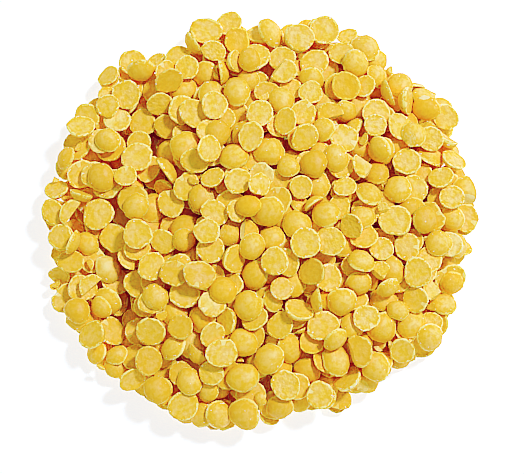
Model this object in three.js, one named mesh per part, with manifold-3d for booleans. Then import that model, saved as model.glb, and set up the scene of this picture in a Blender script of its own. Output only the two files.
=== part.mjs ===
// A heap of yellow split peas that lies loose on a flat surface. Millimetres, +Z up.
// The origin is on that surface, below the middle of the heap.
//
// The heap is made as a real one is: split peas fall one at a time onto the lowest spot, and each slides and
// tips until it lies still on those below. A height map remembers the top of the heap. The pieces that show
// are then fused to a core that fills the heap below them.
import * as THREE from "three";
import { mergeVertices } from "three/addons/utils/BufferGeometryUtils.js";
import Module from "manifold-3d";

// Size and outline of the heap
const MEAN_RADIUS = 46;
const LOBES = [
  { count: 2, size: 1.4, turn: 20 },
  { count: 3, size: 0.4, turn: 1 },
  { count: 4, size: 0.5, turn: 53 },
  { count: 6, size: 0.4, turn: 21 },
  { count: 9, size: 0.5, turn: 20 },
  { count: 10, size: 0.6, turn: 32 },
  { count: 11, size: 1, turn: 2 },
  { count: 15, size: 0.7, turn: 9 },
];
const CROWN_HEIGHT = 13;
const EDGE_HEIGHT = 3.2;

// Slips, where peas slid off the heap's left side: a step down from a line, steep on its upper side and
// gentle on its lower side
const SLIPS = [
  { from: [-21, 20], to: [-14.5, -4] },
  { from: [-27.5, -5], to: [-25.5, -22] },
];
const SLIP_DEPTH = 6;
const SLIP_STEEP = 1.2;
const SLIP_GENTLE = 7;
const SLIP_BARE = 1; // where a slip lowers the heap by more than this, no late pea stays

// One split pea: half of a round seed, flat on one side and domed on the other
const PEA_DIAMETER = 6;
const PEA_DIAMETER_SPREAD = 0.22;
const PEA_THICKNESS = 0.36; // as a share of its diameter
const PEA_THICKNESS_SPREAD = 0.1;
const DOME_UP_LEFT = 0.15; // share of peas that fall with the dome up, on the heap's left and right
const DOME_UP_RIGHT = 0.6;
const FALL_TILT = 0.7; // how far a falling pea may lean, as a sideways share of its axis

// How the peas fall and settle
const SEED = 20;
const CELL = 0.35; // of the height map
const PACKED_DEPTH = 8; // peas that fall fill the heap down to this far below its profile
const SPOTS = 80; // places compared for each fall
const SPOT_REACH = 1.1 * MEAN_RADIUS; // they lie in a square of twice this width
const SPOT_SHARE = 0.5; // of the pea's radius, over which a spot's height is averaged
const EDGE_INSET = 0.8; // a pea's middle stays this share of its radius inside the outline
const FULL_ENOUGH = 0.6; // the heap is full when its lowest spot is this near its profile
const LATE_PEAS = 260; // fall on the full heap, lodge in its gaps and lean more than the others
const LATE_SPOTS = 24;
const LATE_TILT = 1.1;
const SETTLE_STEPS = 120;
const SLIDE = 1.6; // the longest sideways step while settling
const TIP = 0.35; // the largest change of its axis in a step
const LEAST_DROP = 1e-6; // a step counts if it lowers the pea by more than this

// The solid
const LEAST_SPACING = 0.82; // of two peas' radii together, between the middles of peas that show
const LEAST_VIEW = 3; // the area in view that makes a pea show
const PEA_SIDES = 7;
const PEA_PROFILE = [
  [0, 0],
  [1, 0],
  [0.8, 0.62],
  [0, 1],
]; // from the flat side's middle, by the rim, to the dome's top
const CORE_REACH = 0.94; // of the outline
const CORE_EVENS = 4; // the core's top follows the heap's mean height within this reach
const CORE_COVER = 1; // and lies this far below it
const CORE_EDGE = 0.8; // the core's least height
const CORE_SIDES = 32;
const CORE_RINGS = 8;
const LEAST_BITE = 2; // the volume by which a shown pea is sunk in the core
const SINK_STEP = 0.2;

// Its finish
const PEA_COLOUR = 0xe8c34f;
const PEA_ROUGHNESS = 0.6;

const wasm = await Module();
wasm.setup();

function seededRandom(seed) {
  let state = seed;
  return () => {
    state = (Math.imul(state, 1664525) + 1013904223) >>> 0;
    return state / 2 ** 32;
  };
}

const random = seededRandom(SEED);
const swing = () => 2 * random() - 1;

// The heap's profile

function outlineRadius(angle) {
  let radius = MEAN_RADIUS;
  for (const { count, size, turn } of LOBES) {
    radius += size * Math.cos(count * (angle - THREE.MathUtils.degToRad(turn)));
  }
  return radius;
}

// How far a slip lowers the heap at a point
function slipDepth(x, y, { from: [x0, y0], to: [x1, y1] }) {
  const along = ((x - x0) * (x1 - x0) + (y - y0) * (y1 - y0)) / ((x1 - x0) ** 2 + (y1 - y0) ** 2);
  const share = Math.min(1, Math.max(0, along));
  const distance = Math.hypot(x - x0 - share * (x1 - x0), y - y0 - share * (y1 - y0));
  const below = (x - x0) * (y1 - y0) - (y - y0) * (x1 - x0) > 0;
  return SLIP_DEPTH * Math.exp(-((distance / (below ? SLIP_GENTLE : SLIP_STEEP)) ** 2));
}

function inSlip({ x, y }) {
  return SLIPS.some((slip) => slipDepth(x, y, slip) > SLIP_BARE);
}

function profileHeight(x, y) {
  const share = Math.hypot(x, y) / outlineRadius(Math.atan2(y, x));
  if (share > 1) return 0;
  let height = EDGE_HEIGHT + (CROWN_HEIGHT - EDGE_HEIGHT) * (1 - share ** 2);
  for (const slip of SLIPS) height -= slipDepth(x, y, slip);
  return Math.max(height, EDGE_HEIGHT);
}

// The height map: the top of everything that lies in the heap so far, and which pea it belongs to

const half = Math.ceil((MEAN_RADIUS + PEA_DIAMETER) / CELL);
const across = 2 * half + 1;
const heights = new Float64Array(across * across);
const owners = new Int32Array(across * across).fill(-1);

for (let row = 0; row < across; row++) {
  for (let column = 0; column < across; column++) {
    const profile = profileHeight((column - half) * CELL, (row - half) * CELL);
    heights[row * across + column] = Math.max(0, profile - PACKED_DEPTH);
  }
}

// Calls visit(cell, low, high) for each cell under a pea, with the heights of its lower and upper surface
// above the middle of its flat side. The pea is a half ellipsoid whose dome points along axis.
function surfaces({ x, y, axis, radius, thickness }, visit) {
  const flatness = (radius / thickness) ** 2 - 1;
  const [ax, ay, az] = axis;
  const a = 1 + flatness * az * az;
  const firstColumn = Math.ceil((x - radius) / CELL) + half;
  const lastColumn = Math.floor((x + radius) / CELL) + half;
  const firstRow = Math.ceil((y - radius) / CELL) + half;
  const lastRow = Math.floor((y + radius) / CELL) + half;
  for (let row = firstRow; row <= lastRow; row++) {
    const dy = (row - half) * CELL - y;
    for (let column = firstColumn; column <= lastColumn; column++) {
      const dx = (column - half) * CELL - x;
      const side = dx * ax + dy * ay;
      const b = flatness * side * az;
      const c = dx * dx + dy * dy + flatness * side * side - radius * radius;
      const inside = b * b - a * c;
      if (inside < 0) continue;
      const root = Math.sqrt(inside);
      const flat = -side / az;
      const low = az > 0 ? Math.max((-b - root) / a, flat) : (-b - root) / a;
      const high = az > 0 ? (-b + root) / a : Math.min((-b + root) / a, flat);
      if (low <= high) visit(row * across + column, low, high);
    }
  }
}

// The height at which a pea comes down on what lies below it
function landed(pea) {
  let z = 0;
  surfaces(pea, (cell, low) => {
    z = Math.max(z, heights[cell] - low);
  });
  return { ...pea, z };
}

// The height of its centre of mass, which in a half ellipsoid is three eighths of the way up the dome
const weightHeight = ({ z, axis, thickness }) => z + (3 / 8) * thickness * axis[2];

function unit([x, y, z]) {
  const length = Math.hypot(x, y, z);
  return [x / length, y / length, z / length];
}

const withinOutline = (x, y, radius) =>
  Math.hypot(x, y) < outlineRadius(Math.atan2(y, x)) - EDGE_INSET * radius;

function meanHeight(x, y, reach) {
  let sum = 0;
  let count = 0;
  const steps = Math.floor(reach / CELL);
  const column = Math.round(x / CELL) + half;
  const row = Math.round(y / CELL) + half;
  for (let down = -steps; down <= steps; down++) {
    for (let right = -steps; right <= steps; right++) {
      sum += heights[(row + down) * across + column + right];
      count += 1;
    }
  }
  return sum / count;
}

// Of several spots picked at random, the one with the most room below the profile
function lowestSpot(radius, spots) {
  let best = { room: -Infinity };
  for (let tried = 0; tried < spots; ) {
    const x = swing() * SPOT_REACH;
    const y = swing() * SPOT_REACH;
    if (!withinOutline(x, y, radius)) continue;
    tried += 1;
    const room = profileHeight(x, y) - meanHeight(x, y, radius * SPOT_SHARE);
    if (room > best.room) best = { x, y, room };
  }
  return best;
}

function settled(start) {
  let pea = landed(start);
  for (let step = 0; step < SETTLE_STEPS; step++) {
    const ease = 1 - step / SETTLE_STEPS;
    const x = pea.x + swing() * SLIDE * ease;
    const y = pea.y + swing() * SLIDE * ease;
    const axis = unit(pea.axis.map((part) => part + swing() * TIP * ease));
    if (!withinOutline(x, y, pea.radius)) continue;
    const trial = landed({ ...pea, x, y, axis });
    if (weightHeight(trial) < weightHeight(pea) - LEAST_DROP) pea = trial;
  }
  return pea;
}

// A pea that has settled on the lowest of some spots, and the room that it found there
function fallenPea(spots, tilt) {
  const radius = (PEA_DIAMETER / 2) * (1 + PEA_DIAMETER_SPREAD * (random() + random() - 1));
  const thickness = 2 * radius * PEA_THICKNESS * (1 + PEA_THICKNESS_SPREAD * swing());
  const { x, y, room } = lowestSpot(radius, spots);
  const domeUp = THREE.MathUtils.mapLinear(x, -MEAN_RADIUS, MEAN_RADIUS, DOME_UP_LEFT, DOME_UP_RIGHT);
  const up = random() < domeUp ? 1 : -1;
  const axis = unit([swing() * tilt, swing() * tilt, up]);
  return { room, pea: settled({ x, y, axis, radius, thickness }) };
}

function poured() {
  const peas = [];
  const lay = (pea) => {
    surfaces(pea, (cell, low, high) => {
      if (pea.z + high <= heights[cell]) return;
      heights[cell] = pea.z + high;
      owners[cell] = peas.length;
    });
    peas.push(pea);
  };
  for (;;) {
    const { pea, room } = fallenPea(SPOTS, FALL_TILT);
    if (room < FULL_ENOUGH) break;
    lay(pea);
  }
  for (let late = 0; late < LATE_PEAS; late++) {
    const { pea } = fallenPea(LATE_SPOTS, LATE_TILT);
    if (!inSlip(pea)) lay(pea);
  }
  return peas;
}

// The peas that show most from above, spread evenly: those most in view come first, and a pea is left out if
// it lies too near one picked before it
function shownPeas(peas) {
  const cells = peas.map(() => 0);
  for (const owner of owners) if (owner >= 0) cells[owner] += 1;
  const byView = peas.map((pea, index) => ({ ...pea, view: cells[index] })).sort((a, b) => b.view - a.view);
  const picked = [];
  for (const pea of byView) {
    const crowds = (other) => {
      const distance = Math.hypot(pea.x - other.x, pea.y - other.y, pea.z - other.z);
      return distance < LEAST_SPACING * (pea.radius + other.radius);
    };
    if (pea.view * CELL * CELL > LEAST_VIEW && !picked.some(crowds)) picked.push(pea);
  }
  return picked;
}

// Solids

function solidOf(geometry) {
  geometry.deleteAttribute("normal");
  geometry.deleteAttribute("uv");
  const merged = mergeVertices(geometry);
  return new wasm.Manifold(
    new wasm.Mesh({
      numProp: 3,
      vertProperties: merged.attributes.position.array,
      triVerts: new Uint32Array(merged.index.array),
    }),
  );
}

function geometryOf(solid) {
  const { vertProperties, triVerts } = solid.getMesh();
  const geometry = new THREE.BufferGeometry();
  geometry.setAttribute("position", new THREE.BufferAttribute(vertProperties, 3));
  geometry.setIndex(new THREE.BufferAttribute(triVerts, 1));
  geometry.computeVertexNormals();
  return geometry;
}

function turned(points, sides) {
  const profile = points.map(([radius, height]) => new THREE.Vector2(radius, height));
  return new THREE.LatheGeometry(profile, sides).rotateX(Math.PI / 2);
}

const coreHeight = (x, y) => Math.max(CORE_EDGE, meanHeight(x, y, CORE_EVENS) - CORE_COVER);

// The core is a turned disc of unit size, drawn out to the outline and raised to just below the heap's top.
function coreSolid() {
  const rings = [];
  for (let ring = CORE_RINGS; ring >= 0; ring--) rings.push([ring / CORE_RINGS, 1]);
  const disc = turned([[0, 0], [1, 0], ...rings], CORE_SIDES);
  const points = disc.attributes.position;
  for (let i = 0; i < points.count; i++) {
    const reach = CORE_REACH * outlineRadius(Math.atan2(points.getY(i), points.getX(i)));
    const x = points.getX(i) * reach;
    const y = points.getY(i) * reach;
    points.setXYZ(i, x, y, points.getZ(i) * coreHeight(x, y));
  }
  return solidOf(disc);
}

// A pea with few sides, a little wider than the round one inside it so that both cover the same ground
const facetReach = Math.sqrt(Math.PI / ((PEA_SIDES / 2) * Math.sin((2 * Math.PI) / PEA_SIDES)));

function peaSolid({ x, y, z, axis, radius, thickness }) {
  const wide = radius * facetReach;
  const up = new THREE.Vector3(0, 0, 1);
  const lean = new THREE.Quaternion().setFromUnitVectors(up, new THREE.Vector3(...axis));
  const geometry = turned(PEA_PROFILE, PEA_SIDES).scale(wide, wide, thickness).applyQuaternion(lean);
  return solidOf(geometry.translate(x, y, z));
}

// A pea that lies clear of the core is lowered, at most to the ground, until it is sunk in it
function sunkPea(pea, core) {
  let { z } = pea;
  let solid = peaSolid(pea);
  while (solid.boundingBox().min[2] > 0 && core.intersect(solid).volume() < LEAST_BITE) {
    z -= SINK_STEP;
    solid = peaSolid({ ...pea, z });
  }
  return solid;
}

// Everything above the surface that the heap lies on
function aboveGround(solid) {
  const size = 4 * MEAN_RADIUS;
  const room = new THREE.BoxGeometry(size, size, size).translate(0, 0, size / 2);
  return solid.intersect(solidOf(room));
}

function heapSolid() {
  const shown = shownPeas(poured());
  const core = coreSolid();
  const joined = wasm.Manifold.union([core, ...shown.map((pea) => sunkPea(pea, core))]);
  const bodies = aboveGround(joined).decompose();
  return bodies.reduce((largest, body) => (body.volume() > largest.volume() ? body : largest));
}

const heap = new THREE.Mesh(
  geometryOf(heapSolid()),
  new THREE.MeshStandardMaterial({ color: PEA_COLOUR, roughness: PEA_ROUGHNESS, metalness: 0 }),
);
heap.name = "split_pea_heap";

const part = new THREE.Group();
part.add(heap);

export default part;
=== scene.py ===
# %% [markdown]
# # A heap of yellow split peas
#
# A split pea is half of a dried, skinned pea: flat on the side where the halves parted, domed on the
# other. Some hundreds of them lie in a loose round heap on a table. This lesson lets them fall into
# place, casts each one from a few modelled moulds, and finishes them with one material that knows where
# on its pea it is.
#
# The lesson starts from a measured frame: a plain solid of the heap, at its real size and place. Its box
# is measured, and its size is printed.

# %% The measured frame
import math
from dataclasses import dataclass, replace

import bmesh
import bpy
import numpy as np
from mathutils import Matrix, Vector


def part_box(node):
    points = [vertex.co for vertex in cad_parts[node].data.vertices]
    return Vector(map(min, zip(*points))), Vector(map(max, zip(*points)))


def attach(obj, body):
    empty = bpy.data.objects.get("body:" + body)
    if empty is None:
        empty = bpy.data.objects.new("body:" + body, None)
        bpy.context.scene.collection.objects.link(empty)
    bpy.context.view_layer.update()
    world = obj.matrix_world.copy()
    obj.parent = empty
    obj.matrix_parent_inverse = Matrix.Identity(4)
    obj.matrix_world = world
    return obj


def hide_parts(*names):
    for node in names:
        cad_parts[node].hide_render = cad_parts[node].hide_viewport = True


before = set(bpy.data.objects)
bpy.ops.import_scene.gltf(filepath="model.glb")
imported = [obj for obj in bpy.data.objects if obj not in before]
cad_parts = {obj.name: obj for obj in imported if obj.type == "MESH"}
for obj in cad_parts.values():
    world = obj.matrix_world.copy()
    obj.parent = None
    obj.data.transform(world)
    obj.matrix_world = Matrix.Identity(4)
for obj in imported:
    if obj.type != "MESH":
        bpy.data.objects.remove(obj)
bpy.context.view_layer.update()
MM = 0.001
HEAP = "split_pea_heap"
heap_low, heap_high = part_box(HEAP)
print("solids in the frame:", len(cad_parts))
print("the solid heap in mm:", [round(side / MM, 1) for side in heap_high - heap_low])

# %% [markdown]
# ## How the peas come to lie
#
# The heap could be filled by scattering peas on a dome, but they would cut through each other, and a
# rigid body simulation of so many gives another heap whenever the solver changes. Here a simple rule does
# it: each pea falls on a low spot, then slides and tips a little at a time, keeping each move that lowers
# it. The measured solid was made by the same rule and the same seed, so the peas that show most lie here
# where that solid has them. This part works in millimetres.
#
# First comes the form that the heap grows towards: a wavy round outline and a low crown, with two slips
# on its left side where peas slid down and left a step. The outline is a sum of waves, because these are
# easier to adjust than a list of points.

# %% The outline and the profile of the heap
MEAN_RADIUS = 46.0
LOBES = [  # how many waves go round, how high they are, and which way the first one points, in degrees
    (2, 1.4, 20),
    (3, 0.4, 1),
    (4, 0.5, 53),
    (6, 0.4, 21),
    (9, 0.5, 20),
    (10, 0.6, 32),
    (11, 1.0, 2),
    (15, 0.7, 9),
]
CROWN_HEIGHT = 13.0
EDGE_HEIGHT = 3.2
SLIPS = [((-21, 20), (-14.5, -4)), ((-27.5, -5), (-25.5, -22))]  # where each step starts and ends
SLIP_DEPTH = 6.0
SLIP_STEEP = 1.2
SLIP_GENTLE = 7.0


def outline_radius(angle):
    waves = [size * np.cos(count * (angle - math.radians(turn))) for count, size, turn in LOBES]
    return MEAN_RADIUS + sum(waves)


def slip_depth(x, y, start, end):
    """How far a slip lowers the heap: steeply on the upper side of its line, gently on the lower side."""
    (x0, y0), (x1, y1) = start, end
    along = ((x - x0) * (x1 - x0) + (y - y0) * (y1 - y0)) / ((x1 - x0) ** 2 + (y1 - y0) ** 2)
    share = np.clip(along, 0, 1)
    distance = np.hypot(x - x0 - share * (x1 - x0), y - y0 - share * (y1 - y0))
    below = (x - x0) * (y1 - y0) - (y - y0) * (x1 - x0) > 0
    return SLIP_DEPTH * np.exp(-((distance / np.where(below, SLIP_GENTLE, SLIP_STEEP)) ** 2))


def profile_height(x, y):
    share = np.hypot(x, y) / outline_radius(np.arctan2(y, x))
    height = EDGE_HEIGHT + (CROWN_HEIGHT - EDGE_HEIGHT) * (1 - share**2)
    for start, end in SLIPS:
        height = height - slip_depth(x, y, start, end)
    return np.where(share > 1, 0, np.maximum(height, EDGE_HEIGHT))


print("the profile's crown in mm:", float(profile_height(0.0, 0.0)))

# %% [markdown]
# A height map remembers the top of all that has fallen so far, in small square cells. Testing the peas'
# meshes against each other would be more exact, but far too slow for so many small moves. The map starts
# some way below the profile, because the peas deep inside never show. A pea is half of a flattened ball,
# so its lower and upper surface above a cell come from one quadratic equation, and the flat side cuts one
# of them off.

# %% The height map, and a pea above it
CELL = 0.35
PACKED_DEPTH = 8.0
PEA_DIAMETER = 6.0

half = math.ceil((MEAN_RADIUS + PEA_DIAMETER) / CELL)
cells = (np.arange(2 * half + 1) - half) * CELL
heights = np.maximum(0, profile_height(*np.meshgrid(cells, cells)) - PACKED_DEPTH)


@dataclass(frozen=True)
class Pea:
    """Where the middle of a pea's flat side lies, which way its dome points, and its size."""

    x: float
    y: float
    z: float
    axis: tuple
    radius: float
    thickness: float


def cells_under(middle, radius):
    first = math.ceil((middle - radius) / CELL) + half
    last = math.floor((middle + radius) / CELL) + half
    return slice(first, last + 1)


def surfaces(pea):
    """The cells round a pea, its lower and upper surface there, and which of the cells it covers.

    The surfaces are measured up from the middle of the flat side.
    """
    ax, ay, az = pea.axis
    rows = cells_under(pea.y, pea.radius)
    columns = cells_under(pea.x, pea.radius)
    dx = cells[columns][None, :] - pea.x
    dy = cells[rows][:, None] - pea.y
    flatness = (pea.radius / pea.thickness) ** 2 - 1
    side = dx * ax + dy * ay
    a = 1 + flatness * az * az
    b = flatness * side * az
    c = dx * dx + dy * dy + flatness * side * side - pea.radius * pea.radius
    inside = b * b - a * c
    root = np.sqrt(np.maximum(inside, 0))
    low = (-b - root) / a
    high = (-b + root) / a
    if az > 0:
        low = np.maximum(low, -side / az)
    else:
        high = np.minimum(high, -side / az)
    return (rows, columns), low, high, (inside >= 0) & (low <= high)


def landed(pea):
    """The pea let down until it touches what lies below it."""
    window, low, _, covered = surfaces(pea)
    rest = np.where(covered, heights[window] - low, 0)
    return replace(pea, z=max(0.0, float(rest.max())))


print("height map:", heights.shape, "cells of", CELL, "mm")

# %% [markdown]
# A pea lies still where its centre of mass can't get lower. In half a ball that is three eighths of the
# way from the flat side to the dome's top. The moves could come from any source of chance, but here they
# come from one small seeded generator, so the heap is the same on every run and on every machine.

# %% Settling
SEED = 20
DRAW_FACTOR = 1664525
DRAW_STEP = 1013904223
DRAW_RANGE = 2**32
WEIGHT_SHARE = 3 / 8
SETTLE_STEPS = 120
SLIDE = 1.6
TIP = 0.35
LEAST_DROP = 1e-6
EDGE_INSET = 0.8


def seeded_draws(seed):
    """An endless row of numbers from 0 to 1 that looks random and is the same for the same seed."""
    state = seed
    while True:
        state = (state * DRAW_FACTOR + DRAW_STEP) % DRAW_RANGE
        yield state / DRAW_RANGE


draws = seeded_draws(SEED)


def swing():
    return 2 * next(draws) - 1


def unit(x, y, z):
    length = math.hypot(x, y, z)
    return (x / length, y / length, z / length)


def weight_height(pea):
    return pea.z + WEIGHT_SHARE * pea.thickness * pea.axis[2]


def within_outline(x, y, radius):
    return math.hypot(x, y) < outline_radius(math.atan2(y, x)) - EDGE_INSET * radius


def settled(pea):
    pea = landed(pea)
    for step in range(SETTLE_STEPS):
        ease = 1 - step / SETTLE_STEPS
        x = pea.x + swing() * SLIDE * ease
        y = pea.y + swing() * SLIDE * ease
        axis = unit(*[part + swing() * TIP * ease for part in pea.axis])
        if not within_outline(x, y, pea.radius):
            continue
        trial = landed(replace(pea, x=x, y=y, axis=axis))
        if weight_height(trial) < weight_height(pea) - LEAST_DROP:
            pea = trial
    return pea


print("settling:", SETTLE_STEPS, "small moves for each pea")

# %% [markdown]
# Now they are poured. Each pea goes to the spot, of eighty picked at random, that lies deepest below the
# profile, and the heap is done when none lies deep. Pouring them all at the middle would be more like a
# real scoop, but the heap's form would then be left to chance. On the left of this heap most peas show
# their flat side, and on the right more show their dome.

# %% Pouring
PEA_DIAMETER_SPREAD = 0.22
PEA_THICKNESS = 0.36  # for each unit of the diameter
PEA_THICKNESS_SPREAD = 0.1
DOME_UP_LEFT = 0.15
DOME_UP_RIGHT = 0.6
FALL_TILT = 0.7
SPOTS = 80
SPOT_REACH = 1.1 * MEAN_RADIUS
SPOT_SHARE = 0.5
FULL_ENOUGH = 0.6


def mean_height(x, y, reach):
    steps = math.floor(reach / CELL)
    column = math.floor(x / CELL + 0.5) + half
    row = math.floor(y / CELL + 0.5) + half
    return float(heights[row - steps : row + steps + 1, column - steps : column + steps + 1].mean())


def lowest_spot(radius, spots):
    """The spot, of some picked at random, with the most room below the profile: the room, x and y."""
    best = (-math.inf, 0.0, 0.0)
    tried = 0
    while tried < spots:
        x = swing() * SPOT_REACH
        y = swing() * SPOT_REACH
        if not within_outline(x, y, radius):
            continue
        tried += 1
        room = float(profile_height(x, y)) - mean_height(x, y, radius * SPOT_SHARE)
        if room > best[0]:
            best = (room, x, y)
    return best


def fallen_pea(size, spots, tilt):
    """A pea that has settled on the lowest of some spots, and the room that it found there."""
    radius = PEA_DIAMETER / 2 * size * (1 + PEA_DIAMETER_SPREAD * (next(draws) + next(draws) - 1))
    thickness = 2 * radius * PEA_THICKNESS * (1 + PEA_THICKNESS_SPREAD * swing())
    room, x, y = lowest_spot(radius, spots)
    dome_up = DOME_UP_LEFT + (DOME_UP_RIGHT - DOME_UP_LEFT) * (x + MEAN_RADIUS) / (2 * MEAN_RADIUS)
    up = 1 if next(draws) < dome_up else -1
    axis = unit(swing() * tilt, swing() * tilt, up)
    return settled(Pea(x, y, 0.0, axis, radius, thickness)), room


def lay(pea):
    """Raises the height map where a pea lies."""
    window, _, high, covered = surfaces(pea)
    heights[window] = np.where(covered, np.maximum(heights[window], pea.z + high), heights[window])


def poured():
    peas = []
    while True:
        pea, room = fallen_pea(1, SPOTS, FALL_TILT)
        if room < FULL_ENOUGH:
            return peas
        lay(pea)
        peas.append(pea)


peas = poured()
print("peas in the heap:", len(peas), "and its top in mm:", round(float(heights.max()), 1))

# %% [markdown]
# The gaps that are left are too narrow for a pea to lie flat in. The last peas to fall lodge there and
# lean more than the others, and after them come a few crumbs. Each goes to the lowest of only some spots,
# so that they are spread all over the heap. Those that come to the slips roll on, so the slips stay bare
# and dark.

# %% Late peas and crumbs
LATE_PEAS = 260
LATE_SPOTS = 24
LATE_TILT = 1.1
CRUMBS = 36
CRUMB_SIZE = 0.42
SLIP_BARE = 1.0  # where a slip lowers the heap by more than this, nothing late stays


def in_slip(x, y):
    return any(slip_depth(x, y, start, end) > SLIP_BARE for start, end in SLIPS)


def sprinkled(count, size):
    things = []
    for _ in range(count):
        thing = fallen_pea(size, LATE_SPOTS, LATE_TILT)[0]
        if not in_slip(thing.x, thing.y):
            lay(thing)
            things.append(thing)
    return things


peas += sprinkled(LATE_PEAS, 1)
crumbs = sprinkled(CRUMBS, CRUMB_SIZE)
print("peas now:", len(peas), "with", len(crumbs), "crumbs, to", round(float(heights.max()), 1), "mm high")

# %% [markdown]
# ## The moulds
#
# A mould is one split pea of unit size: its rim has radius 1, its flat side lies at height 0 and its dome
# reaches height 1. It starts as a ball. A plane through the middle takes the lower half away and the hole
# is filled with the flat side. A small bevel rounds the rim, and two insets put rings of faces on the
# flat side, the outer one close to the rim so that the rim's round shading stays narrow. A subdivided
# shape would be smoother, but a pea covers only some thirty pixels and there are hundreds, so a hundred
# faces are enough.

# %% The mould of a whole pea
SIDES = 16
DOME_RINGS = 6
RIM_ROUND = 0.09
FLAT_RINGS = (0.07, 0.32)
TOUCHING = 1e-4  # points closer than this are taken as one


def everything(bm):
    return bm.verts[:] + bm.edges[:] + bm.faces[:]


def open_edges(bm):
    return [edge for edge in bm.edges if edge.is_boundary]


def whole_pea():
    bm = bmesh.new()
    bmesh.ops.create_uvsphere(bm, u_segments=SIDES, v_segments=DOME_RINGS, radius=1)
    bmesh.ops.bisect_plane(bm, geom=everything(bm), dist=TOUCHING, plane_co=(0, 0, 0), plane_no=(0, 0, 1),
                           clear_inner=True)
    rim = open_edges(bm)
    bmesh.ops.holes_fill(bm, edges=rim, sides=0)
    bmesh.ops.bevel(bm, geom=rim, offset=RIM_ROUND, offset_type="OFFSET", affect="EDGES", segments=1,
                    profile=0.5, material=-1, clamp_overlap=True)
    flat = max(bm.faces, key=lambda face: len(face.verts))
    for ring in FLAT_RINGS:
        bmesh.ops.inset_region(bm, faces=[flat], thickness=ring, use_even_offset=True)
    bmesh.ops.poke(bm, faces=[flat])
    bmesh.ops.recalc_face_normals(bm, faces=bm.faces[:])
    return bm


sample = whole_pea()
print("a whole pea has", len(sample.verts), "points and", len(sample.faces), "faces")
sample.free()

# %% [markdown]
# Splitting and shaking also chips the peas. A chipped pea has lost a sliver of its rim, and a broken one
# is only a half or a quarter. A fracture tool would make such pieces too, but with far more faces, so
# both are cut from the whole pea by leaning planes. The cut is closed and poked, so that its middle can
# be pushed in, and it keeps a finish number of its own: fresh breaks are paler than the skin.

# %% The moulds of chipped and broken peas
SKIN_FINISH, BREAK_FINISH = 0, 1
CHIPS = [  # each cut: how far from the middle, which way it faces and how far it leans up, in degrees
    [(0.9, 20, 30)],
    [(0.86, 200, -22)],
    [(0.88, 100, -35), (0.92, 235, 25)],
    [(0.8, 310, 38)],
]
BREAKS = [
    [(0.08, 0, 12)],
    [(0.36, 40, -18)],
    [(0.12, 0, 20), (0.3, 95, -12)],
    [(0.22, 180, -8), (0.7, 60, 30)],
]
BREAK_HOLLOW = 0.05


def break_off(bm, distance, turn, lean):
    """Takes away what lies past a leaning plane, and closes the pea with a hollow break."""
    turn, lean = math.radians(turn), math.radians(lean)
    facing = Vector((math.cos(turn) * math.cos(lean), math.sin(turn) * math.cos(lean), math.sin(lean)))
    bmesh.ops.bisect_plane(bm, geom=everything(bm), dist=TOUCHING, plane_co=facing * distance,
                           plane_no=facing, clear_outer=True)
    closed = bmesh.ops.holes_fill(bm, edges=open_edges(bm), sides=0)["faces"]
    poked = bmesh.ops.poke(bm, faces=closed)
    for face in poked["faces"]:
        face.material_index = BREAK_FINISH
    for middle in poked["verts"]:
        middle.co -= facing * BREAK_HOLLOW


@dataclass
class Mould:
    points: np.ndarray
    faces: list
    finishes: list


def mould(cuts):
    bm = whole_pea()
    for cut in cuts:
        break_off(bm, *cut)
    bmesh.ops.recalc_face_normals(bm, faces=bm.faces[:])
    bm.verts.index_update()
    points = np.array([vert.co[:] for vert in bm.verts])
    faces = [[vert.index for vert in face.verts] for face in bm.faces]
    finishes = [face.material_index for face in bm.faces]
    bm.free()
    return Mould(points, faces, finishes)


MOULDS = {
    "whole_split_peas": [mould([])],
    "chipped_split_peas": [mould(cuts) for cuts in CHIPS],
    "broken_split_peas": [mould(cuts) for cuts in BREAKS],
}
for kind, shapes in MOULDS.items():
    print(kind, "moulds with", [len(shape.faces) for shape in shapes], "faces")

# %% [markdown]
# ## Casting the peas
#
# No two peas are alike. Each cast bends its mould's points by a few drawn amounts: the outline waves and
# is ragged from side to side, the whole is a little oval, the flat side is dished or swollen and slightly
# aslant, and the dome is full or low. Some peas have a lip, where the dome rises a little inside the rim.
# Some keep the notch at the rim where the seed's root tip lay. A displacement modifier could do part of
# this, but it can't tell the rim from the flat side.

# %% The uneven shape of one pea
LOOK_SEED = 7
WAVES = ((2, 0.035), (3, 0.026), (5, 0.015))  # how many go round, and how high they are
RAGGED = 0.02
OVAL = 0.035
FLAT_BELOW = 0.01  # a point lower than this is on the flat side
DISH = (-0.03, 0.11)
ASLANT = 0.03
FULLNESS = (-0.2, 0.2)
LIP_SHARE = 0.25
LIP_ABOVE = 0.2
LIP_BELOW = 0.99
LIP = 0.07
NOTCH_SHARE = 0.3
NOTCH_FROM_MIDDLE = 0.75
NOTCH_BELOW = 0.3
NOTCH = 0.09

chance = np.random.default_rng(LOOK_SEED)


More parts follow.
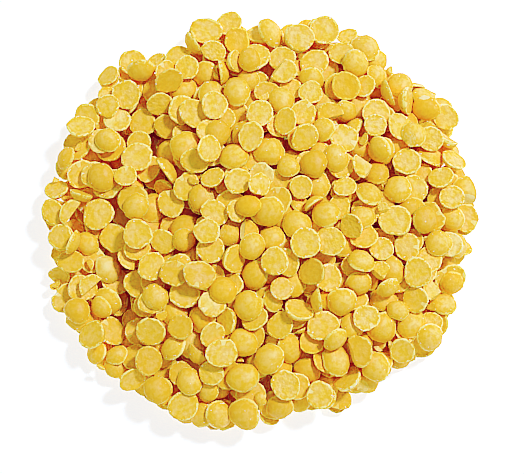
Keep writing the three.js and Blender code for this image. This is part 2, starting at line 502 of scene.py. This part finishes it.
def uneven(points, notched):
    """A mould's points, bent into the shape of one pea."""
    u, v, w = points.T
    angle = np.arctan2(v, u)
    from_middle = np.hypot(u, v)
    side = np.round(angle / math.tau * SIDES).astype(int) % SIDES
    reach = 1 + chance.normal(0, RAGGED, SIDES)[side]
    for count, size in WAVES:
        reach = reach + chance.normal(0, size) * np.cos(count * angle + chance.uniform(0, math.tau))
    dish = chance.uniform(*DISH) * np.maximum(0, 1 - from_middle**2)
    aslant = chance.normal(0, ASLANT) * u + chance.normal(0, ASLANT) * v
    full = 1 + chance.uniform(*FULLNESS) * (1 - w)
    if chance.random() < LIP_SHARE:
        reach = np.where((w > LIP_ABOVE) & (w < LIP_BELOW), reach * (1 - LIP), reach)
    if notched:
        at_notch = (side == 0) & (from_middle > NOTCH_FROM_MIDDLE) & (w < NOTCH_BELOW)
        reach = np.where(at_notch, reach * (1 - NOTCH), reach)
    oval = chance.normal(0, OVAL)
    height = np.where(w < FLAT_BELOW, dish + aslant * from_middle, w * full)
    return np.column_stack((u * reach * (1 + oval), v * reach * (1 - oval), height))


print("a drawn pea spans", np.ptp(uneven(MOULDS["whole_split_peas"][0].points, False), axis=0).round(2))

# %% [markdown]
# The casts of one kind are joined into one mesh straight from arrays, which is far quicker than one
# object for each pea. Three attributes go with every point, for the material to read: its place on the
# mould, a number drawn for its pea that sets the pea's tone and shifts its pattern, and whether the pea
# keeps a root mark. Edges sharper than a given angle, which are those of the breaks, stay crisp.

# %% Joining the casts
CRISP_ANGLE = math.radians(62)
KIND_SHARES = (0.78, 0.16, 0.06)  # of the peas, those that are whole, chipped and broken


def cast(shape, pea, notched):
    """A mould's points, made uneven, scaled to a pea's size and laid where the pea lies, in metres."""
    local = uneven(shape.points, notched) * (pea.radius, pea.radius, pea.thickness)
    lean = Vector((0, 0, 1)).rotation_difference(Vector(pea.axis)).to_matrix()
    spin = Matrix.Rotation(chance.uniform(0, math.tau), 3, "Z")
    laid = local @ np.array(lean @ spin).T + (pea.x, pea.y, pea.z)
    laid[:, 2] = np.maximum(laid[:, 2], 0)
    return laid * MM


def linked(name, mesh):
    piece = bpy.data.objects.new(name, mesh)
    bpy.context.collection.objects.link(piece)
    return piece


def joined(name, shapes, members):
    points, places, tones, marks, faces, finishes = [], [], [], [], [], []
    count = 0
    for pea in members:
        shape = shapes[chance.integers(len(shapes))]
        notched = chance.random() < NOTCH_SHARE
        size = len(shape.points)
        points.append(cast(shape, pea, notched))
        places.append(shape.points)
        tones.append(np.full(size, chance.random()))
        marks.append(np.full(size, float(notched)))
        faces += [[index + count for index in face] for face in shape.faces]
        finishes += shape.finishes
        count += size
    mesh = bpy.data.meshes.new(name)
    mesh.from_pydata(np.concatenate(points), [], faces)
    mesh.polygons.foreach_set("material_index", finishes)
    mesh.polygons.foreach_set("use_smooth", np.ones(len(faces), dtype=bool))
    mesh.set_sharp_from_angle(angle=CRISP_ANGLE)
    place = mesh.attributes.new("pea_place", "FLOAT_VECTOR", "POINT")
    place.data.foreach_set("vector", np.concatenate(places).ravel())
    for label, values in (("pea_tone", tones), ("pea_mark", marks)):
        numbers = mesh.attributes.new(label, "FLOAT", "POINT")
        numbers.data.foreach_set("value", np.concatenate(values))
    return linked(name, mesh)


kinds = chance.choice(list(MOULDS), size=len(peas), p=KIND_SHARES)
pieces = []
for kind, shapes in MOULDS.items():
    members = [pea for pea, its_kind in zip(peas, kinds) if its_kind == kind]
    pieces.append(joined(kind, shapes, members))
    print(kind, len(members), "peas,", len(pieces[-1].data.polygons), "faces")
pieces.append(joined("split_pea_crumbs", MOULDS["broken_split_peas"], crumbs))
print("crumbs with", len(pieces[-1].data.polygons), "faces")

# %% [markdown]
# ## The hidden inside
#
# Deep in the heap the peas can't be seen, and filling it with them would only cost time, so a low mound
# stands for them. It is a line of points, spun about the vertical and drawn out almost to the heap's
# outline, whose top follows the profile at the depth where the peas begin.

# %% The mound inside
MOUND_REACH = 0.9
MOUND_RINGS = 14
MOUND_SIDES = 40
MOUND_LEAST = 0.3


def inner_mound():
    bm = bmesh.new()
    line = [bm.verts.new((ring / MOUND_RINGS, 0, 0)) for ring in range(MOUND_RINGS + 1)]
    edges = [bm.edges.new(pair) for pair in zip(line, line[1:])]
    bmesh.ops.spin(bm, geom=line + edges, axis=(0, 0, 1), cent=(0, 0, 0), angle=math.tau,
                   steps=MOUND_SIDES, use_merge=True)
    bmesh.ops.remove_doubles(bm, verts=bm.verts[:], dist=TOUCHING)
    for vert in bm.verts:
        reach = MOUND_REACH * outline_radius(math.atan2(vert.co.y, vert.co.x))
        x, y = vert.co.x * reach, vert.co.y * reach
        height = max(MOUND_LEAST, float(profile_height(x, y)) - PACKED_DEPTH)
        vert.co = Vector((x, y, height)) * MM
    wall = bmesh.ops.extrude_edge_only(bm, edges=open_edges(bm))["geom"]
    for part in wall:
        if isinstance(part, bmesh.types.BMVert):
            part.co.z = 0
    bmesh.ops.holes_fill(bm, edges=open_edges(bm), sides=0)
    bmesh.ops.recalc_face_normals(bm, faces=bm.faces[:])
    mesh = bpy.data.meshes.new("packed_inside")
    bm.to_mesh(mesh)
    bm.free()
    return linked("packed_inside", mesh)


mound = inner_mound()
pieces.append(mound)
print("the mound inside has", len(mound.data.polygons), "faces")

# %% [markdown]
# ## The finish
#
# The materials are built from nodes in code, so a few small helpers keep that short. One adds a node and
# feeds its inputs, where a socket is linked and any other value is set. The others mix two colours by a
# mask, do sums, and turn a value into a smooth step. Colours are written as a picture shows them, and
# turned into the linear light that shaders work in.

# %% Helpers for nodes
def linear(red, green, blue):
    """A colour as screens show it, from 0 to 255, in linear light: the standard screen curve, undone."""
    shares = [part / 255 for part in (red, green, blue)]
    return (*[part / 12.92 if part <= 0.04045 else ((part + 0.055) / 1.055) ** 2.4 for part in shares], 1.0)


def add_node(tree, kind, inputs=None, **options):
    node = tree.nodes.new(kind)
    for name, value in options.items():
        setattr(node, name, value)
    for name, value in (inputs or {}).items():
        if isinstance(value, bpy.types.NodeSocket):
            tree.links.new(value, node.inputs[name])
        else:
            node.inputs[name].default_value = value
    return node


MIX_FACTOR, MIX_FIRST, MIX_SECOND, MIX_RESULT = 0, 6, 7, 2  # the sockets for colours among those of a mix


def mixed(tree, mask, first, second, blend="MIX"):
    """The first colour, turning into the second where the mask is 1."""
    inputs = {MIX_FACTOR: mask, MIX_FIRST: first, MIX_SECOND: second}
    return add_node(tree, "ShaderNodeMix", inputs, data_type="RGBA", blend_type=blend).outputs[MIX_RESULT]


def maths(tree, operation, first, second=0.0, third=0.0):
    return add_node(tree, "ShaderNodeMath", {0: first, 1: second, 2: third}, operation=operation).outputs[0]


def both(tree, first, second):
    return maths(tree, "MULTIPLY", first, second)


def ramp(tree, value, start, end, low=0.0, high=1.0):
    """Goes smoothly from low to high as the value goes from start to end."""
    inputs = {"Value": value, "From Min": start, "From Max": end, "To Min": low, "To Max": high}
    return add_node(tree, "ShaderNodeMapRange", inputs, interpolation_type="SMOOTHSTEP").outputs[0]


print("middle grey in linear light:", [round(part, 3) for part in linear(128, 128, 128)])

# %% [markdown]
# Every surface of a pea is mottled: pale starch shows in blotches and in grain. Skin, breaks and the
# mound all have it, each at its own scale, so it is a node group. It reads the place on the pea, shifted
# by the pea's own number, so that no two peas have the same blotches.

# %% The mottling, as a node group
TONE_SHIFT = (31, 57, 83)


def mottling_group():
    group = bpy.data.node_groups.new("pea_mottling", "ShaderNodeTree")
    group.interface.new_socket(name="Place", in_out="INPUT", socket_type="NodeSocketVector")
    for name in ("Tone", "Scale", "Detail", "From", "To"):
        group.interface.new_socket(name=name, in_out="INPUT", socket_type="NodeSocketFloat")
    group.interface.new_socket(name="Blotches", in_out="OUTPUT", socket_type="NodeSocketFloat")
    given = group.nodes.new("NodeGroupInput").outputs
    shift = add_node(group, "ShaderNodeVectorMath", {0: TONE_SHIFT, "Scale": given["Tone"]},
                     operation="SCALE")
    place = add_node(group, "ShaderNodeVectorMath", {0: given["Place"], 1: shift.outputs[0]},
                     operation="ADD")
    noise = add_node(group, "ShaderNodeTexNoise",
                     {"Vector": place.outputs[0], "Scale": given["Scale"], "Detail": given["Detail"]})
    blotches = ramp(group, noise.outputs[0], given["From"], given["To"])
    add_node(group, "NodeGroupOutput", {"Blotches": blotches})
    return group


MOTTLING = mottling_group()


def mottled(tree, place, tone, scale, start, end, detail=2.0):
    """Blotches of noise, from none at the start to full at the end."""
    inputs = {"Place": place, "Tone": tone, "Scale": scale, "Detail": detail, "From": start, "To": end}
    return add_node(tree, "ShaderNodeGroup", inputs, node_tree=MOTTLING).outputs["Blotches"]


print("node group:", MOTTLING.name)

# %% [markdown]
# ### The flat side
#
# The skin knows where it is by the place on the mould. A painted picture could tell it too, but then all
# peas would show the same paint, and here each pea's own number changes every pattern. The flat side is
# pale and starchy, with deeper yellow patches in a band inside the rim. A root mark is a pale wedge that
# widens towards the notch and has an amber edge.

# %% The colour of the flat side
FLAT_PALE = linear(252, 205, 108)
FLAT_DEEP = linear(251, 198, 72)
BAND_YELLOW = linear(246, 184, 28)
BAND_FROM_MIDDLE = (0.6, 0.92)
BAND_PATCHES = (2.6, 0.36, 0.56)  # of this and each later pattern: its scale, its start and its end
MARK_PALE = linear(254, 233, 144)
MARK_AMBER = linear(247, 172, 52)
MARK_WIDENING = 0.24
MARK_SIDES = (0.06, 0.0)
MARK_TIP = (0.42, 0.55)
MARK_EDGE = (-0.06, 0.02)


def coordinates(tree, place):
    return add_node(tree, "ShaderNodeSeparateXYZ", {0: place}).outputs


def root_mark(tree, place):
    """The mask of the wedge at the notch, and its colour."""
    along, across, _ = coordinates(tree, place)
    outside = maths(tree, "MULTIPLY_ADD", along, -MARK_WIDENING, maths(tree, "ABSOLUTE", across))
    wedge = both(tree, ramp(tree, outside, *MARK_SIDES), ramp(tree, along, *MARK_TIP))
    return wedge, mixed(tree, ramp(tree, outside, *MARK_EDGE), MARK_PALE, MARK_AMBER)


def flat_side(tree, place, tone, mark, from_middle, blotches):
    patches = mottled(tree, place, tone, *BAND_PATCHES)
    band = both(tree, ramp(tree, from_middle, *BAND_FROM_MIDDLE), patches)
    colour = mixed(tree, band, mixed(tree, blotches, FLAT_PALE, FLAT_DEEP), BAND_YELLOW)
    wedge, wedge_colour = root_mark(tree, place)
    return mixed(tree, both(tree, wedge, mark), colour, wedge_colour)


mark_half = MARK_WIDENING + MARK_SIDES[0]
print("half a root mark at the notch, for each unit of a pea's radius:", round(mark_half, 2))

# %% [markdown]
# ### The dome, the grain, the rim and the specks
#
# The dome is a deeper, smoother amber, with painted shade at its sides and a painted highlight that pales
# it towards its top. Grain, lighter and darker, lies over flat side and dome alike. The rim has a thin
# lemon line, ragged and broken here and there: partly the rim's own paler colour, partly a painted
# highlight where the rim catches the lamp. White specks are partly nicks and partly painted glints, most
# of them near the rim. Each is a mask over the colours before it, because a mask is easier to move than
# geometry.

# %% The colours over flat side and dome
# The dome's side colour is painted shade and its top colour a painted highlight; the ramp between them goes
# by height.
DOME_SIDE_PAINTED_SHADE = linear(252, 190, 44)
DOME_TOP_PAINTED_HIGHLIGHT = linear(253, 204, 106)
DOME_BLOTCH = linear(252, 197, 76)
DOME_PAINTED_LIGHT_RAMP = (0.3, 0.95)
GRAIN_PALE = linear(254, 220, 124)
GRAIN_SHADE = linear(250, 246, 228)
GRAIN_SHARE = 0.28
# The rim line is partly the rim's own paler colour and partly a painted highlight.
RIM_LEMON_AND_HIGHLIGHT = linear(255, 240, 136)
RIM_FROM_MIDDLE = (0.88, 0.97)
RIM_HEIGHT = (0.2, 0.46)
RIM_STRETCHES = (3.2, 0.36, 0.46)
# The white specks are partly nicks and partly painted glints.
NICK_AND_GLINT_WHITE = linear(255, 251, 216)
SPECK_SCALE = 4.2
SPECK_FROM_MIDDLE = (0.6, 0.95)
SPECK_LEAST = (0.73, 0.64)
SPECK_EDGE = 0.05


# Paints shade on the dome's sides and a highlight on its top, by height on the mould.
def dome(tree, height, blotches):
    top = mixed(tree, blotches, DOME_TOP_PAINTED_HIGHLIGHT, DOME_BLOTCH)
    return mixed(tree, ramp(tree, height, *DOME_PAINTED_LIGHT_RAMP), DOME_SIDE_PAINTED_SHADE, top)


def grained(tree, colour, grain):
    colour = mixed(tree, both(tree, grain, GRAIN_SHARE), colour, GRAIN_PALE)
    return mixed(tree, ramp(tree, grain, 1.0, 0.0), colour, GRAIN_SHADE, "MULTIPLY")


# The lemon rim line: partly the rim's own paler colour, partly a painted highlight.
def rimmed(tree, colour, place, tone, from_middle, height):
    line = both(tree, ramp(tree, from_middle, *RIM_FROM_MIDDLE), ramp(tree, height, *RIM_HEIGHT, 1.0, 0.0))
    return mixed(tree, both(tree, line, mottled(tree, place, tone, *RIM_STRETCHES)), colour, RIM_LEMON_AND_HIGHLIGHT)


# White specks: partly nicks, partly painted glints, most of them near the rim.
def nicked_and_glinting(tree, colour, place, tone, from_middle):
    least = ramp(tree, from_middle, *SPECK_FROM_MIDDLE, *SPECK_LEAST)
    nicks_and_glints = mottled(tree, place, tone, SPECK_SCALE, least, maths(tree, "ADD", least, SPECK_EDGE))
    return mixed(tree, nicks_and_glints, colour, NICK_AND_GLINT_WHITE)


print("nicks show where the noise passes", SPECK_LEAST[0], "in the middle,", SPECK_LEAST[1], "at the rim")

# %% [markdown]
# ### From pea to pea
#
# A bag of peas is never of one colour. By its own number a pea may be chalky, more orange or duller than
# the rest, and some have a wrinkled flat side. The fine unevenness is a bump, which only tilts the light,
# because real relief of this size would need thousands of faces on each pea.

# %% The skin of the peas
CHALK = linear(254, 234, 148)
CHALK_SHARE = 0.6
CHALK_CLOUDS = (1.2, 0.3, 0.7)
CHALKY_TONES = (0.6, 0.012, 0.018)  # the middle tone, and how far from it the effect fades and ends
PEA_ORANGE = linear(254, 234, 176)
ORANGE_TONES = (0.9, 1.0)
PEA_DULL = linear(243, 227, 205)
DULL_TONES = (0.25, 0.0)
BLOTCHES = (1.7, 0.38, 0.64)
GRAIN = (3.8, 0.36, 0.64, 2.5)  # here and in the next, the last number is how fine the noise is
RAGGED_EDGE = (4.0, 0.35, 0.65, 3.0)
RAGGED_REACH = 0.12
FLAT_HEIGHT = (0.02, 0.1)
SKIN_ROUGHNESS = (0.58, 0.74)
SWELLS = (2.8, 0.25, 0.75)
WRINKLED_TONES = (0.55, 0.07, 0.08)
WRINKLES = 2.5
GRAIN_RELIEF = 0.3
BUMP_STRENGTH = 0.35
SKIN_BUMP = 0.2 * MM


def new_material(name):
    material = bpy.data.materials.new(name)
    material.use_nodes = True
    return material, material.node_tree, material.node_tree.nodes["Principled BSDF"]


def attribute(tree, name):
    return add_node(tree, "ShaderNodeAttribute", attribute_name=name)


def few_peas(tree, tone, middle, near, far, few, others):
    """One value for the few peas whose tone is near the middle, and another for the others."""
    away = maths(tree, "ABSOLUTE", maths(tree, "SUBTRACT", tone, middle))
    return ramp(tree, away, near, far, few, others)


def toned(tree, colour, place, tone):
    chalky = few_peas(tree, tone, *CHALKY_TONES, CHALK_SHARE, 0.0)
    colour = mixed(tree, both(tree, chalky, mottled(tree, place, tone, *CHALK_CLOUDS)), colour, CHALK)
    colour = mixed(tree, ramp(tree, tone, *ORANGE_TONES), colour, PEA_ORANGE, "MULTIPLY")
    return mixed(tree, ramp(tree, tone, *DULL_TONES), colour, PEA_DULL, "MULTIPLY")


def bumped(tree, shader, relief, distance):
    inputs = {"Height": relief, "Strength": BUMP_STRENGTH, "Distance": distance}
    bump = add_node(tree, "ShaderNodeBump", inputs)
    tree.links.new(bump.outputs[0], shader.inputs["Normal"])


def pea_skin():
    material, tree, shader = new_material("dried_pea_skin")
    place = attribute(tree, "pea_place").outputs["Vector"]
    tone = attribute(tree, "pea_tone").outputs["Fac"]
    mark = attribute(tree, "pea_mark").outputs["Fac"]
    along, across, height = coordinates(tree, place)
    level = add_node(tree, "ShaderNodeCombineXYZ", {0: along, 1: across}).outputs[0]
    from_middle = add_node(tree, "ShaderNodeVectorMath", {0: level}, operation="LENGTH").outputs["Value"]
    on_flat = ramp(tree, height, *FLAT_HEIGHT, 1.0, 0.0)
    blotches = mottled(tree, place, tone, *BLOTCHES)
    grain = mottled(tree, place, tone, *GRAIN)
    edge = mottled(tree, place, tone, *RAGGED_EDGE)
    ragged = maths(tree, "MULTIPLY_ADD", edge, RAGGED_REACH, from_middle)

    flat_colour = flat_side(tree, place, tone, mark, ragged, blotches)
    colour = mixed(tree, on_flat, dome(tree, height, blotches), flat_colour)
    colour = grained(tree, colour, grain)
    colour = rimmed(tree, colour, place, tone, ragged, height)
    colour = nicked_and_glinting(tree, colour, place, tone, from_middle)
    tree.links.new(toned(tree, colour, place, tone), shader.inputs["Base Color"])

    tree.links.new(ramp(tree, blotches, 0.0, 1.0, *SKIN_ROUGHNESS), shader.inputs["Roughness"])
    wrinkled = few_peas(tree, tone, *WRINKLED_TONES, WRINKLES, 1.0)
    swells = both(tree, mottled(tree, place, tone, *SWELLS), on_flat)
    relief = maths(tree, "MULTIPLY_ADD", grain, GRAIN_RELIEF, both(tree, swells, wrinkled))
    bumped(tree, shader, relief, SKIN_BUMP)
    return material


SKIN = pea_skin()
print("the skin has", len(SKIN.node_tree.nodes), "nodes")

# %% [markdown]
# ### Breaks and the mound
#
# A fresh break is pale and granular, like the inside of a nut, and on some peas it is chalky. It could
# share the skin's material with one more mask, but a finish of its own is easier to read. The mound
# inside has the colour of peas in the shade.

# %% The breaks and the mound
BREAK_PALE = linear(254, 226, 134)
BREAK_YELLOW = linear(252, 204, 88)
BREAK_GRAIN = (6.0, 0.35, 0.65, 4.0)
BREAK_BUMP = 0.15 * MM
CHALKY_BREAK_TONES = (0.6, 0.75)
CHALKY_BREAK_SHARE = 0.85
MOUND_DARK = linear(214, 150, 44)
MOUND_LIGHT = linear(236, 182, 72)
MOUND_GRAIN = (400.0, 0.35, 0.65)
ROUGH = (0.6, 0.8)


def break_material():
    material, tree, shader = new_material("fresh_break")
    place = attribute(tree, "pea_place").outputs["Vector"]
    tone = attribute(tree, "pea_tone").outputs["Fac"]
    grain = mottled(tree, place, tone, *BREAK_GRAIN)
    chalky = ramp(tree, tone, *CHALKY_BREAK_TONES, 0.0, CHALKY_BREAK_SHARE)
    colour = mixed(tree, chalky, mixed(tree, grain, BREAK_PALE, BREAK_YELLOW), CHALK)
    tree.links.new(colour, shader.inputs["Base Color"])
    tree.links.new(ramp(tree, grain, 0.0, 1.0, *ROUGH), shader.inputs["Roughness"])
    bumped(tree, shader, grain, BREAK_BUMP)
    return material


def mound_material():
    material, tree, shader = new_material("shaded_inside")
    place = add_node(tree, "ShaderNodeTexCoord").outputs["Object"]
    grain = mottled(tree, place, 0.0, *MOUND_GRAIN)
    tree.links.new(mixed(tree, grain, MOUND_DARK, MOUND_LIGHT), shader.inputs["Base Color"])
    tree.links.new(ramp(tree, grain, 0.0, 1.0, *ROUGH), shader.inputs["Roughness"])
    return material


FINISHES = {SKIN_FINISH: SKIN, BREAK_FINISH: break_material()}
for piece in pieces:
    if piece is mound:
        piece.data.materials.append(mound_material())
    else:
        for number in sorted(FINISHES):
            piece.data.materials.append(FINISHES[number])
    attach(piece, "root")
    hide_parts(HEAP)
print("finished pieces:", [piece.name for piece in pieces])

# %% [markdown]
# ## The table, the light and the camera
#
# The heap lies on a plain white table, lit from the upper right by one fairly small lamp, so that each
# pea throws a crisp shadow on the next. More lamps would light it evenly, but would wash these shadows
# out. The lamp is a little cool and the room around it warm, so that peas in the shade turn gold. The
# table is tinted against the room, which keeps its shadows grey, and it glows a little, as the light
# table of a product photo does, which keeps them pale.

# %% The table and the light
TABLE_SIZE = 3.0
TABLE_WHITE = (0.54, 0.69, 0.96, 1.0)
TABLE_ROUGHNESS = 0.9
TABLE_GLOW = 0.62
GLOW_WHITE = (1.0, 1.0, 1.0, 1.0)
LAMP_AZIMUTH = math.radians(35)
LAMP_ELEVATION = math.radians(58)
LAMP_DISTANCE = 0.9
LAMP_SIZE = 0.13
LAMP_POWER = 4.25
LAMP_COOL = (0.96, 1.03, 1.09)
ROOM_LIGHT = 0.36
ROOM_WARM = (1.0, 0.78, 0.56, 1.0)


def white_table():
    bm = bmesh.new()
    bmesh.ops.create_grid(bm, x_segments=1, y_segments=1, size=TABLE_SIZE / 2)
    mesh = bpy.data.meshes.new("table")
    bm.to_mesh(mesh)
    bm.free()
    table = linked("table", mesh)
    material, _, shader = new_material("white_table")
    shader.inputs["Base Color"].default_value = TABLE_WHITE
    shader.inputs["Roughness"].default_value = TABLE_ROUGHNESS
    shader.inputs["Emission Color"].default_value = GLOW_WHITE
    shader.inputs["Emission Strength"].default_value = TABLE_GLOW
    mesh.materials.append(material)


def aimed(name, data, place, target):
    """A new lamp or camera that looks from its place at a target."""
    thing = linked(name, data)
    thing.location = place
    thing.rotation_euler = (target - place).to_track_quat("-Z", "Y").to_euler()
    return thing


def lamp():
    light = bpy.data.lights.new("lamp", "AREA")
    light.shape = "DISK"
    light.size = LAMP_SIZE
    light.energy = LAMP_POWER
    light.color = LAMP_COOL
    flat = math.cos(LAMP_ELEVATION)
    way = Vector((flat * math.cos(LAMP_AZIMUTH), flat * math.sin(LAMP_AZIMUTH), math.sin(LAMP_ELEVATION)))
    aimed("lamp", light, way * LAMP_DISTANCE, Vector((0, 0, 0)))


def room_light():
    world = bpy.data.worlds.new("room")
    world.use_nodes = True
    background = world.node_tree.nodes["Background"]
    background.inputs["Color"].default_value = ROOM_WARM
    background.inputs["Strength"].default_value = ROOM_LIGHT
    bpy.context.scene.world = world


white_table()
lamp()
room_light()
print("lamp at", round(math.degrees(LAMP_ELEVATION)), "degrees above the table")

# %% [markdown]
# The camera looks almost straight down with a long lens. It could be moved by hand until the picture
# fits, but a sum is exact: its distance follows from the scale of the picture, in pixels for each
# millimetre, and its aim from where the middle of the heap is in the picture.

# %% The camera
PICTURE_WIDTH, PICTURE_HEIGHT = 524, 474
PIXELS_PER_MM = 4.55
HEAP_MIDDLE = (259.6, 221.9)
VIEW_ELEVATION = math.radians(80)
LENS = 110.0
SENSOR = 36.0
NEAREST = 0.01


def camera():
    data = bpy.data.cameras.new("camera")
    data.lens = LENS
    data.sensor_width = SENSOR
    data.clip_start = NEAREST
    distance = PICTURE_WIDTH / PIXELS_PER_MM * MM * LENS / SENSOR
    right = (PICTURE_WIDTH / 2 - HEAP_MIDDLE[0]) / PIXELS_PER_MM
    down = (PICTURE_HEIGHT / 2 - HEAP_MIDDLE[1]) / PIXELS_PER_MM / math.sin(VIEW_ELEVATION)
    aim = Vector((right, -down, 0)) * MM
    back = Vector((0, -math.cos(VIEW_ELEVATION), math.sin(VIEW_ELEVATION)))
    bpy.context.scene.camera = aimed("camera", data, aim + back * distance, aim)
    return distance


print("camera distance in m:", round(camera(), 3))

# %% [markdown]
# ## Bounces and film
#
# Light goes from pea to pea many times before it leaves a gap between them, and each time the yellow
# takes more of the blue and green away, so the gaps glow red. That needs more bounces than usual. Then
# comes the film: as in a developed photo, each colour has a curve of its own. Green falls off steeply in
# the shadows, which turns the gaps crimson, red is kept there, and blue is held back in the middle, which
# makes the yellow richer. The curves share a shoulder near white, so that the table stays neutral.

# %% The bounces and the film's curves
DIFFUSE_BOUNCES = 12
ALL_BOUNCES = 16
SHOULDER = (0.85, 0.9)  # of each point on a curve: the light that comes in, and what the film makes of it
FILM_WHITE = (1, 1)
RED_CURVE = ((0, 0.03), (0.1, 0.15), (0.2, 0.28), (0.3, 0.447), (0.43, 0.64), (0.57, 0.735),
             SHOULDER, FILM_WHITE)
GREEN_CURVE = ((0, 0), (0.027, 0.012), (0.05, 0.06), (0.093, 0.175), (0.19, 0.395), (0.45, 0.622),
               (0.54, 0.732), SHOULDER, FILM_WHITE)
BLUE_CURVE = ((0, 0.004), (0.01, 0.018), (0.036, 0.026), (0.068, 0.068), (0.135, 0.222), (0.235, 0.46),
              (0.37, 0.68), SHOULDER, FILM_WHITE)

scene = bpy.context.scene
scene.cycles.max_bounces = ALL_BOUNCES
scene.cycles.diffuse_bounces = DIFFUSE_BOUNCES
film = scene.view_settings
film.view_transform = "Standard"
film.use_curve_mapping = True


def shape_curve(curve, points):
    """Sets a curve's two end points, and adds the points between them."""
    curve.points[0].location = points[0]
    curve.points[1].location = points[-1]
    for point in points[1:-1]:
        curve.points.new(*point)
    for point in curve.points:
        point.handle_type = "AUTO_CLAMPED"


for curve, points in zip(film.curve_mapping.curves, (RED_CURVE, GREEN_CURVE, BLUE_CURVE)):
    shape_curve(curve, points)
    print("film curve with", len(curve.points), "points")
film.curve_mapping.update()

# %% [markdown]
# A little sharpening brings out the rims, as the maker of a small picture for a shop would do. It acts on
# the picture as a screen shows it, because in linear light it would mostly brighten the glints, so the
# picture goes to screen values before it and back to linear light after it.

# %% Sharpening
SHARPENING = 0.15
SCREEN_GAMMA = 2.2


def curved(tree, picture, gamma):
    return add_node(tree, "CompositorNodeGamma", {"Image": picture, "Gamma": gamma}).outputs["Image"]


def sharpened():
    scene.use_nodes = True
    tree = scene.node_tree
    tree.nodes.clear()
    rendered = tree.nodes.new("CompositorNodeRLayers").outputs["Image"]
    on_screen = curved(tree, rendered, 1 / SCREEN_GAMMA)
    inputs = {"Fac": SHARPENING, "Image": on_screen}
    sharp = add_node(tree, "CompositorNodeFilter", inputs, filter_type="SHARPEN")
    add_node(tree, "CompositorNodeComposite", {"Image": curved(tree, sharp.outputs["Image"], SCREEN_GAMMA)})
    return tree


print("compositor nodes:", [node.bl_label for node in sharpened().nodes])
